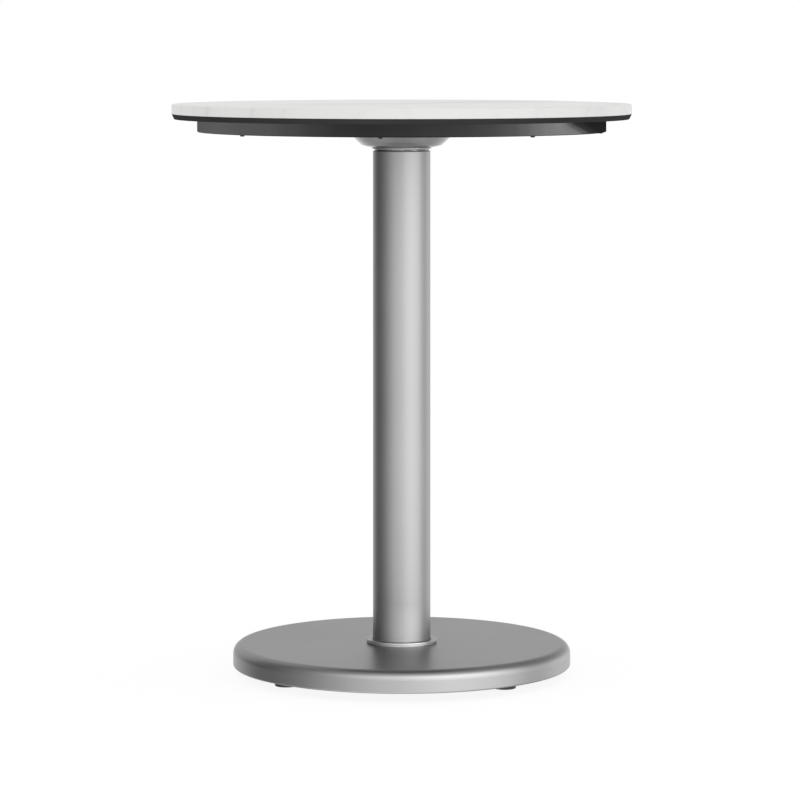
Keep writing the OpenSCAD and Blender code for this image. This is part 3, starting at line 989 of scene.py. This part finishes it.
def arm_mesh(deg):
    """One arm: a tapering flat bar with a rib and two bosses, as closed bodies that cross each other."""
    bm = bmesh.new()

    def prism(outline, z0, z1):
        a = [bm.verts.new((x, y, z0)) for x, y in outline]
        b = [bm.verts.new((x, y, z1)) for x, y in outline]
        bm.faces.new(a[::-1])
        bm.faces.new(b)
        for i in range(len(outline)):
            j = (i + 1) % len(outline)
            bm.faces.new((a[i], a[j], b[j], b[i]))

    top = zc + H
    out = [(BELL_R - 7.0, -19.0), (190.0, -12.0)]
    out += [(190.0 + 12.0 * math.cos(t), 12.0 * math.sin(t)) for t in [math.radians(-80 + 10 * i) for i in range(17)]]
    out += [(190.0, 12.0), (BELL_R - 7.0, 19.0)]
    prism(out, top - 6.0, top)
    # bosses
    for c in (138.0, 190.0):
        prism([(c + 11.0 * math.cos(math.radians(i * 12)), 11.0 * math.sin(math.radians(i * 12))) for i in range(30)], top - 8.0, top - 3.0)
    # rib, in its own upright plane, stopping either side of the inner screw's head
    for side in (
        [(63.0, zc + 37.5), (63.0, zc + 20.5), (68.0, zc + 21.3), (129.6, zc + 29.6), (129.6, top - 5.0)],
        [(146.4, top - 5.0), (146.4, zc + 31.9), (168.0, top - 7.5), (168.0, top - 5.0)],
    ):
        a = [bm.verts.new((x, -3.5, z)) for x, z in side]
        b = [bm.verts.new((x, 3.5, z)) for x, z in side]
        bm.faces.new(a)
        bm.faces.new(b[::-1])
        for i in range(len(side)):
            j = (i + 1) % len(side)
            bm.faces.new((a[j], a[i], b[i], b[j]))
    bmesh.ops.recalc_face_normals(bm, faces=bm.faces)
    bmesh.ops.scale(bm, vec=(MM, MM, MM), verts=bm.verts)
    bmesh.ops.rotate(bm, cent=(0, 0, 0), matrix=Matrix.Rotation(math.radians(deg), 3, "Z"), verts=bm.verts)
    mesh = bpy.data.meshes.new("arm")
    bm.to_mesh(mesh)
    bm.free()
    return mesh


bm = bmesh.new()
lathe_into(bm, rounded(bell), 192)
hub = new_object("cast_hub", bm, 40)
bm = bmesh.new()
for deg in FOOT_ANGLES:
    mesh = arm_mesh(deg)
    bm.from_mesh(mesh)
    bpy.data.meshes.remove(mesh)
arms = new_object("arms_raw", bm, 60)
rm = arms.modifiers.new("remesh", "REMESH")
rm.mode = "VOXEL"
rm.voxel_size = 0.0010
sm = arms.modifiers.new("smooth", "SMOOTH")
sm.factor = 0.5
sm.iterations = 5
apply_modifiers(arms)
bm = bmesh.new()
bm.from_mesh(hub.data)
bm.from_mesh(arms.data)
bpy.data.objects.remove(arms)
bpy.data.objects.remove(hub)
hub = new_object("cast_spider", bm, 40)
print("spider faces", len(hub.data.polygons))
piece(weighted(hub), "table", "silver_cast", "mounting_spider")

# ------------------------------------------------------------------ column
r = mm(COL_R)
z0, z1 = mm(Z_DECK), mm(Z_COL)
p = rounded([(r - 2.0, z0, 0.3, 2), (r, z0, 0.5, 3), (r, z1, 0.6, 4), (r - 2.0, z1, 0.3, 2)])
p = divided(p, 0.05)
piece(weighted(lathe("column", p, 160)), "table", "silver_steel", "column_tube", look="silver_tube")

# ------------------------------------------------------------------ collar
rc, zl, zh = mm(COLLAR_R), mm(Z_DECK), mm(Z_COLLAR)
p = rounded(
    [
        (r + 0.35, zl + 0.02, 0.1, 1),
        (rc - 1.6, zl + 0.02, 0.1, 1),
        (rc - 1.6, zl + 0.65, 0.15, 2),
        (rc - 0.25, zl + 0.75, 0.3, 4),
        (rc - 0.25, zl + 2.7, 0.35, 5),
        (rc - 0.6, zl + 2.75, 0.1, 2),
        (rc - 0.6, zl + 2.95, 0.1, 2),
        (rc, zl + 3.0, 0.35, 5),
        (rc, zh, 0.9, 8),
        (r + 1.7, zh, 0.6, 3),
        (r + 0.35, zh - 1.4, 0.3, 2),
    ]
)
piece(weighted(lathe("foot_collar", p, 160)), "table", "silver_steel", "base_collar", look="silver_trim")

# ------------------------------------------------------------------ base cover
R, t = mm(BASE_R), 1.6
zb, zd = mm(Z_BASE), mm(Z_DECK)
p = rounded(
    [
        (30.2, zd - t, 0.2, 2),
        (30.2, zd, 0.3, 3),
        (R, zd, 13.0, 28),
        (R, zb, 2.4, 8),
        (R - 9.3, zb, 0.4, 3),
        (R - 9.3, zb + t, 0.4, 3),
        (R - t, zb + t, 0.9, 4),
        (R - t, zd - t, 11.4, 20),
    ]
)
p = divided(p, 0.045)
piece(weighted(lathe("base_shell", p, 288)), "table", "silver_steel", "base_cover", look="silver_base")

# ------------------------------------------------------------------ tie rod and its hardware
z0, z1 = zs("tie_rod")
bm = bmesh.new()
rod_into(
    bm,
    [
        ("thread", z0, z0 + 0.040, 6.0 * MM, 1.75 * MM, 1.0 * MM),
        ("plain", z0 + 0.040, z1 - 0.045, 5.4 * MM),
        ("thread", z1 - 0.045, z1, 6.0 * MM, 1.75 * MM, 1.0 * MM),
    ],
    40,
    (0, 0),
)
piece(new_object("tie_rod_threaded", bm, 60), "table", "zinc_steel", "tie_rod")

for node, name in (("rod_top_nut", "upper_nut"), ("rod_bottom_nut", "lower_nut")):
    z0, z1 = zs(node)
    bm = bmesh.new()
    hex_into(bm, 19.0 * MM, z0, z1, 6.05 * MM, (0, 0), turn=0.0)
    piece(weighted(new_object(name, bm, 28)), "table", "zinc_steel", node)
for node, name in (("rod_top_washer", "upper_washer"), ("rod_bottom_washer", "lower_washer")):
    z0, z1 = mm(zs(node)[0]), mm(zs(node)[1])
    p = rounded([(6.5, z0, 0.2, 2), (15.0, z0, 0.35, 3), (15.0, z1, 0.35, 3), (6.5, z1, 0.2, 2)])
    piece(weighted(lathe(name, p, 72)), "table", "zinc_steel", node)

# ------------------------------------------------------------------ feet
cx = FOOT_R
pad_mm = mm(PAD_HI.z) - 2.2
for i, deg in enumerate(FOOT_ANGLES):
    c = polar(cx, deg)
    k = i + 1
    # glide: flat sole with a groove, waisted rim, raised socket boss
    p = rounded(
        [
            (0.0, 0.55, 0),
            (5.0, 0.55, 0.2, 2),
            (5.6, 0.0, 0.2, 2),
            (9.4, 0.0, 0.2, 2),
            (9.7, 0.5, 0.15, 2),
            (10.3, 0.5, 0.15, 2),
            (10.6, 0.0, 0.2, 2),
            (15.0, 0.0, 1.5, 6),
            (15.0, 2.9, 0.3, 2),
            (14.65, 3.1, 0.15, 2),
            (14.65, 3.4, 0.15, 2),
            (14.9, 3.6, 0.2, 2),
            (14.9, pad_mm, 1.1, 6),
            (9.0, pad_mm, 0.8, 4),
            (8.2, pad_mm + 2.2, 0.6, 4),
            (3.4, pad_mm + 2.2, 0.3, 2),
        ]
        + [
            (4.05 * math.sin(math.radians(a)), 5.3 + 4.05 * math.cos(math.radians(a)), 0.0)
            for a in range(64, 180, 12)
        ]
        + [(0.0, 5.3 - 4.05, 0)],
        closed=False,
    )
    piece(
        weighted(lathe(f"glide_{k}", p, 72, closed=False, centre=c)),
        f"foot_{k}",
        "nylon",
        f"foot_pad_{k}",
    )
    # screw: ball, neck, spanner hexagon, thread
    bm = bmesh.new()
    ball = [(4.0 * math.sin(math.radians(a)) * MM, (5.3 - 4.0 * math.cos(math.radians(a))) * MM) for a in range(0, 146, 8)]
    ball[0] = (0.0, ball[0][1])
    ball += [(2.3 * MM, 8.7 * MM), (2.3 * MM, 9.2 * MM), (0.0, 9.2 * MM)]
    lathe_into(bm, ball, 40, closed=False, centre=c)
    hex_into(bm, 13.0 * MM, 9.0 * MM, 13.0 * MM, 0.0, c, turn=math.radians(deg))
    rod_into(
        bm,
        [
            ("plain", 12.6 * MM, 14.2 * MM, 3.5 * MM),
            ("thread", 14.2 * MM, mm(SCREW_HI.z) * MM, 4.0 * MM, 1.25 * MM, 0.7 * MM),
        ],
        36,
        c,
    )
    piece(new_object(f"foot_stud_{k}", bm, 30), f"screw_{k}", "zinc_steel", f"foot_screw_{k}")

# CAD nodes that stay: soften their sharp edges with a small bevel
for node, width in (
    ("base_ballast", 0.0009),
    ("foot_bushes", 0.0003),
    ("column_locator", 0.0004),
    ("rod_lock_washers", 0.0002),
    ("ring_inserts", 0.0002),
    ("spider_inserts", 0.0002),
):
    o = frame["nodes"][node]
    w = o.modifiers.new("weld", "WELD")
    w.merge_threshold = 0.000002
    b = o.modifiers.new("bevel", "BEVEL")
    b.limit_method = "ANGLE"
    b.angle_limit = math.radians(35)
    b.width = width
    b.segments = 2
    b.harden_normals = False
    n = o.modifiers.new("normals", "WEIGHTED_NORMAL")
    n.keep_sharp = True

# ------------------------------------------------------------------ stage
bm = bmesh.new()
lathe_into(bm, [(0.0, 0.0), (1.0, 0.0), (4.0, 0.0), (12.0, 0.0), (40.0, 0.0)], 96, closed=False)
floor = new_object("studio_floor", bm)
floor.location.z = -0.0062
m = bpy.data.materials.new("pale_floor")
m.use_nodes = True
k = Nodes(m.node_tree)
out = k.add("ShaderNodeOutputMaterial")
d = k.add("ShaderNodeBsdfDiffuse")
em = k.add("ShaderNodeEmission")
co = k.add("ShaderNodeTexCoord").outputs["Object"]
n = k.noise(co, 2.0, 3.0, 0.5)
k.put(d, "Color", k.mix(n.outputs[0], (0.095, 0.095, 0.095), (0.105, 0.105, 0.105)))
em.inputs["Strength"].default_value = 0.905
add = k.add("ShaderNodeAddShader")
k.link(d.outputs[0], add.inputs[0])
k.link(em.outputs[0], add.inputs[1])
# from underneath it is clear, so the table can be looked at from there
clear = k.add("ShaderNodeBsdfTransparent")
which = k.add("ShaderNodeMixShader")
k.link(k.add("ShaderNodeNewGeometry").outputs["Backfacing"], which.inputs[0])
k.link(clear.outputs[0], which.inputs[1])
k.link(add.outputs[0], which.inputs[2])
k.link(which.outputs[0], out.inputs[0])
floor.data.materials.append(m)
floor.visible_glossy = False

# Studio surround: white for the camera, even and soft for matt surfaces, and for
# polished ones a horizon of soft boxes and flags round the table.
world = bpy.data.worlds.new("studio")
bpy.context.scene.world = world
world.use_nodes = True
k = Nodes(world.node_tree)
out = k.add("ShaderNodeOutputWorld")
co = k.add("ShaderNodeTexCoord").outputs["Generated"]
f = k.vmath("DOT_PRODUCT", co, tuple(TO_CAM))
s = k.vmath("DOT_PRODUCT", co, tuple(RIGHT))
up = k.vmath("DOT_PRODUCT", co, (0, 0, 1))
phi = k.math("DIVIDE", k.math("ARCTAN2", s, f), 2 * math.pi)
phi = k.math("ADD", phi, 0.5)  # 0.5 is the camera, 0.75 its right, 0.25 its left
# brightness all round at three heights: 2, 6 and 9 degrees below level
HIGH = [(-180, 1.016), (-160, 0.954), (-140, 0.559), (-122, 0.09), (-105, 0.066), (-92, 0.107), (-75, 0.191), (-50, 0.437), (-25, 0.839), (0, 0.927), (18, 1.353), (35, 1.53), (55, 1.446), (70, 1.368), (84, 0.871), (98, 0.543), (114, 0.62), (132, 1.071), (155, 1.115), (180, 1.077)]
LEVEL = [(-180, 1.321), (-160, 1.241), (-140, 0.72), (-122, 0.198), (-105, 0.14), (-92, 0.179), (-75, 0.278), (-50, 0.458), (-25, 0.734), (0, 0.8), (18, 1.052), (35, 1.147), (55, 1.08), (70, 1.089), (84, 0.729), (98, 0.522), (114, 0.603), (132, 1.049), (155, 1.159), (180, 1.124)]
LOW = [(-180, 1.104), (-160, 1.018), (-140, 0.596), (-122, 0.123), (-105, 0.08), (-92, 0.089), (-75, 0.118), (-50, 0.281), (-25, 0.518), (0, 0.645), (18, 0.827), (35, 0.936), (55, 0.82), (70, 0.757), (84, 0.518), (98, 0.423), (114, 0.465), (132, 0.869), (155, 0.981), (180, 0.981)]
el = k.math("DIVIDE", k.math("ARCSINE", up), math.pi)
el = k.math("ADD", el, 0.5)  # 0.5 is the horizon, 1 straight up


def all_round(stops):
    v = k.ramp(phi, [((x + 180) / 360, y / 1.6) for x, y in stops], "EASE")
    return k.math("MULTIPLY", v, 1.6)


def by_height(stops):
    v = k.ramp(el, [((x + 90) / 180, y / 1.8) for x, y in stops])
    return k.math("MULTIPLY", v, 1.8)


h = k.mix(k.remap(el, 0.5 - 9.0 / 180, 0.5 - 6.2 / 180, 0.0, 1.0), all_round(LOW), all_round(LEVEL))
# lower still it is lighter on the dark side
deep = k.ramp(phi, [((x + 180) / 360, v / 2) for x, v in [(-180, 1.1), (-150, 1.3), (-120, 1.68), (-60, 1.68), (-30, 1.4), (0, 1.1), (30, 1.0), (90, 1.05), (120, 1.15), (180, 1.1)]], "EASE")
deep = k.math("MULTIPLY", deep, 2.0)
h = k.mix(k.remap(el, 0.5 - 15.0 / 180, 0.5 - 9.5 / 180, 1.0, 0.0), h, k.math("MULTIPLY", h, deep))
h = k.mix(k.remap(el, 0.5 - 6.2 / 180, 0.5 - 2.4 / 180, 0.0, 1.0), h, all_round(HIGH))
# higher up the dark flag on the left ends, and one stands behind on the right
upper = k.ramp(phi, [((x + 180) / 360, v / 2.5) for x, v in [(-180, 1.0), (-160, 1.15), (-140, 1.4), (-122, 2.3), (-105, 1.8), (-85, 1.2), (-60, 1.0), (80, 1.0), (98, 0.8), (114, 0.58), (132, 0.42), (150, 0.5), (168, 0.8), (180, 1.0)]], "EASE")
upper = k.math("MULTIPLY", upper, 2.5)
h = k.mix(k.remap(el, 0.5 + 10.0 / 180, 0.5 + 22.0 / 180, 0.0, 1.0), h, k.math("MULTIPLY", h, upper))
steep = k.ramp(phi, [((x + 180) / 360, v / 1.6) for x, v in [(-180, 1.0), (-120, 1.35), (-75, 1.45), (-45, 1.35), (-10, 1.08), (20, 0.95), (45, 0.72), (75, 0.6), (110, 0.62), (150, 0.8), (180, 1.0)]], "EASE")
steep = k.math("MULTIPLY", steep, 1.6)
h = k.mix(k.remap(el, 0.5 + 36.0 / 180, 0.5 + 50.0 / 180, 0.0, 1.0), h, k.math("MULTIPLY", h, steep))
front = by_height([(-90, 0.3), (-50, 0.5), (-28, 0.75), (-15, 0.92), (-9.5, 1.0), (-1, 1.0), (4, 0.86), (9, 0.70), (16, 0.92), (24, 1.24), (36, 1.2), (50, 0.92), (66, 0.4), (80, 0.32), (90, 0.3)])
back = by_height([(-90, 0.3), (-50, 0.5), (-28, 0.75), (-15, 0.92), (-9.5, 1.0), (-1, 1.0), (4, 0.92), (10, 0.87), (18, 0.76), (32, 0.45), (48, 0.3), (65, 0.22), (80, 0.26), (90, 0.3)])
flat = k.math("ADD", k.math("MULTIPLY", f, 0.9), 0.5, clamp=True)
g = k.math("ADD", k.math("MULTIPLY", front, flat), k.math("MULTIPLY", back, k.math("SUBTRACT", 1.0, flat)))
glossy = k.math("MULTIPLY", h, g)
# straight down and straight up it is the same whichever way one faces
glossy = k.mix(k.remap(up, -0.3, -0.78, 0.0, 1.0), glossy, k.remap(f, -0.1, 0.4, 0.30, 1.0))
glossy = k.mix(k.remap(up, 0.70, 0.95, 0.0, 1.0), glossy, (0.27, 0.27, 0.27))
glossy = k.math("MULTIPLY", glossy, 1.82)
side = k.vmath("DOT_PRODUCT", co, tuple((RIGHT * 0.8 + TO_CAM * 0.6).normalized()))
diffuse = k.math("ADD", k.math("ADD", 1.0, k.math("MULTIPLY", side, 0.25)), k.math("MULTIPLY", up, 0.07))
lp = k.add("ShaderNodeLightPath")
bg_cam = k.add("ShaderNodeBackground")
bg_cam.inputs[0].default_value = (1, 1, 1, 1)
bg_cam.inputs[1].default_value = 1.0
bg_gl = k.add("ShaderNodeBackground")
bg_gl.inputs[0].default_value = (1, 1, 1, 1)
k.put(bg_gl, 1, glossy)
bg_df = k.add("ShaderNodeBackground")
bg_df.inputs[0].default_value = (1, 1, 1, 1)
k.put(bg_df, 1, diffuse)
m1 = k.add("ShaderNodeMixShader")
k.link(lp.outputs["Is Glossy Ray"], m1.inputs[0])
k.link(bg_df.outputs[0], m1.inputs[1])
k.link(bg_gl.outputs[0], m1.inputs[2])
m2 = k.add("ShaderNodeMixShader")
k.link(lp.outputs["Is Camera Ray"], m2.inputs[0])
k.link(m1.outputs[0], m2.inputs[1])
k.link(bg_cam.outputs[0], m2.inputs[2])
k.link(m2.outputs[0], out.inputs[0])
world.cycles.sampling_method = "NONE"

# ------------------------------------------------------------------ camera
cam_data = bpy.data.cameras.new("camera")
cam = bpy.data.objects.new("camera", cam_data)
bpy.context.scene.collection.objects.link(cam)
bpy.context.scene.camera = cam
F_PX, SIDE = 3680.3, 800.0
cam_data.sensor_fit = "HORIZONTAL"
cam_data.sensor_width = 36.0
cam_data.lens = F_PX / SIDE * 36.0
cam_data.clip_start, cam_data.clip_end = 0.1, 200.0
cam.location = TO_CAM * CAM_D + Vector((0, 0, CAM_H))
cam.rotation_mode = "XYZ"
yaw = math.radians(CAM_AZ) + math.atan(1.7 / F_PX)
cam.rotation_euler = (math.radians(90), 0, yaw)
# The camera is level and the lens is shifted down to frame the table, so uprights stay
# upright. The shift belongs to this one position, and is nought anywhere else.
SHIFT = -371.1 / SIDE
cam_data.shift_y = SHIFT
dr = cam_data.driver_add("shift_y").driver
dr.type = "SCRIPTED"
for name, kind in (("h", "LOC_Z"), ("x", "LOC_X"), ("y", "LOC_Y")):
    v = dr.variables.new()
    v.name = name
    v.type = "TRANSFORMS"
    v.targets[0].id = cam
    v.targets[0].transform_type = kind
    v.targets[0].transform_space = "WORLD_SPACE"
dr.expression = f"{SHIFT:.6f} if abs(h - {CAM_H:.4f}) < 0.002 and abs(x - {cam.location.x:.5f}) < 0.002 and abs(y + {-cam.location.y:.5f}) < 0.002 else 0.0"

scene = bpy.context.scene
scene.view_settings.view_transform = "Standard"
scene.view_settings.look = "None"
scene.view_settings.exposure = 0.0
scene.view_settings.gamma = 1.0
scene.cycles.max_bounces = 8
scene.cycles.glossy_bounces = 5
scene.cycles.diffuse_bounces = 4
